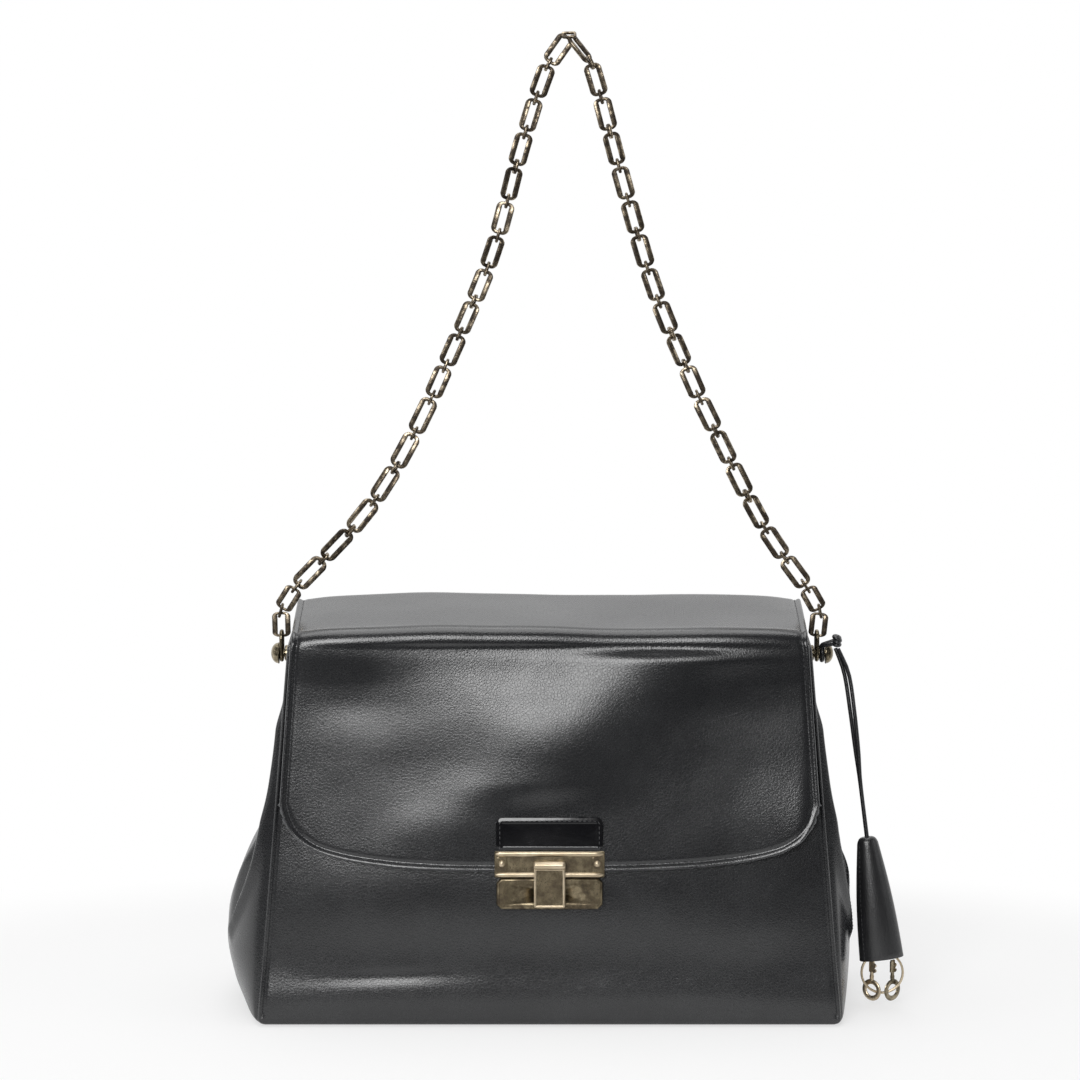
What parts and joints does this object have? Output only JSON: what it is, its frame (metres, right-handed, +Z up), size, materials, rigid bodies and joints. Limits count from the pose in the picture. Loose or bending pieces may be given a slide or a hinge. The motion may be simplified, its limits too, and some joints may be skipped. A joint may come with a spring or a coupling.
{
  "type": "flap shoulder bag",
  "caption": "Leather flap shoulder bag with pleated sides, a clasp lock, a long-link chain strap and a bell-shaped key cover on a lace.",
  "frame": {"origin": "middle of the base, on the surface that the bag stands on", "axes": "+Z up, +X to the right of someone who faces the bag, front towards -Y"},
  "size_m": [0.3762, 0.129, 0.5344],
  "materials": {
    "black_leather": "smooth charcoal-black leather with a soft sheen",
    "patent_leather": "near-black glossy patent",
    "lining_fabric": "matt woven lining",
    "stiff_board": "matt board",
    "aged_brass": "aged pale brass",
    "brushed_brass": "aged brass, brushed upright",
    "plain_steel": "plain steel"
  },
  "bodies": {
    "bag": {"base_panel": "black_leather", "base_board": "stiff_board", "front_panel": "black_leather", "back_panel": "black_leather", "gusset_left": "black_leather", "gusset_right": "black_leather", "lining": "lining_fabric", "flap_rear": "black_leather", "flap_rear_lining": "lining_fabric", "lock_lower_plate": "brushed_brass", "lock_catch": "plain_steel", "lock_backing_plate": "plain_steel", "stud_left": "aged_brass", "stud_right": "aged_brass", "washer_left": "plain_steel", "washer_right": "plain_steel"},
    "flap_top": {"flap_mid": "black_leather", "flap_mid_lining": "lining_fabric"},
    "flap_face": {"flap_front": "black_leather", "flap_front_lining": "lining_fabric", "lock_tab": "patent_leather", "lock_upper_plate": "brushed_brass", "lock_rivet_left": "aged_brass", "lock_rivet_right": "aged_brass", "lock_hasp_pin": "plain_steel"},
    "clasp": {"lock_hasp": "aged_brass"},
    "strap_ends": {"strap_eye_left": "aged_brass", "strap_eye_right": "aged_brass", "chain_left_1": "aged_brass", "chain_right_1": "aged_brass"},
    "strap_middle": {"chain_left_2": "aged_brass", "chain_left_3": "aged_brass", "chain_left_4": "aged_brass", "chain_right_2": "aged_brass", "chain_right_3": "aged_brass", "chain_right_4": "aged_brass"},
    "strap_top": {"chain_left_5": "aged_brass", "chain_left_6": "aged_brass", "chain_left_7": "aged_brass", "chain_left_8": "aged_brass", "chain_left_9": "aged_brass", "chain_right_5": "aged_brass", "chain_right_6": "aged_brass", "chain_right_7": "aged_brass", "chain_right_8": "aged_brass", "chain_right_9": "aged_brass", "chain_apex": "aged_brass"},
    "fob_loop": {"fob_knot": "black_leather"},
    "fob": {"fob_lace": "black_leather", "key_ring": "aged_brass", "key_a": "aged_brass", "key_b": "aged_brass"},
    "bell": {"fob_bell": "black_leather"}
  },
  "joints": [
    {"name": "flap_lift", "type": "hinge", "parent": "bag", "child": "flap_top", "pos_m": [0, -0.012, 0.21851], "axis": [-1, 0, 0], "range_deg": [0, 85]},
    {"name": "flap_fold", "type": "hinge", "parent": "flap_top", "child": "flap_face", "pos_m": [0, -0.0433, 0.2082], "axis": [-1, 0, 0], "range_deg": [0, 75]},
    {"name": "clasp_swing", "type": "hinge", "parent": "flap_face", "child": "clasp", "pos_m": [0, -0.06431, 0.09075], "axis": [-1, 0, 0], "range_deg": [0, 80]},
    {"name": "strap_swing", "type": "hinge", "parent": "bag", "child": "strap_ends", "pos_m": [0, 0, 0.197], "axis": [-1, 0, 0], "range_deg": [0, 20]},
    {"name": "strap_fold_low", "type": "hinge", "parent": "strap_ends", "child": "strap_middle", "pos_m": [0, 0, 0.23589], "axis": [-1, 0, 0], "range_deg": [0, 48]},
    {"name": "strap_fold_high", "type": "hinge", "parent": "strap_middle", "child": "strap_top", "pos_m": [0, 0, 0.34139], "axis": [-1, 0, 0], "range_deg": [0, 85]},
    {"name": "fob_swing", "type": "hinge", "parent": "bag", "child": "fob_loop", "pos_m": [0.15221, 0, 0.197], "axis": [-1, 0, 0], "range_deg": [-15, 30]},
    {"name": "fob_out", "type": "hinge", "parent": "fob_loop", "child": "fob", "pos_m": [0.15996, -0.0062, 0.20495], "axis": [0, -1, 0], "range_deg": [0, 45]},
    {"name": "bell_slide", "type": "slide", "parent": "fob", "child": "bell", "axis": [-0.123, 0.1072, 0.9866], "range_m": [0, 0.028]}
  ]
}
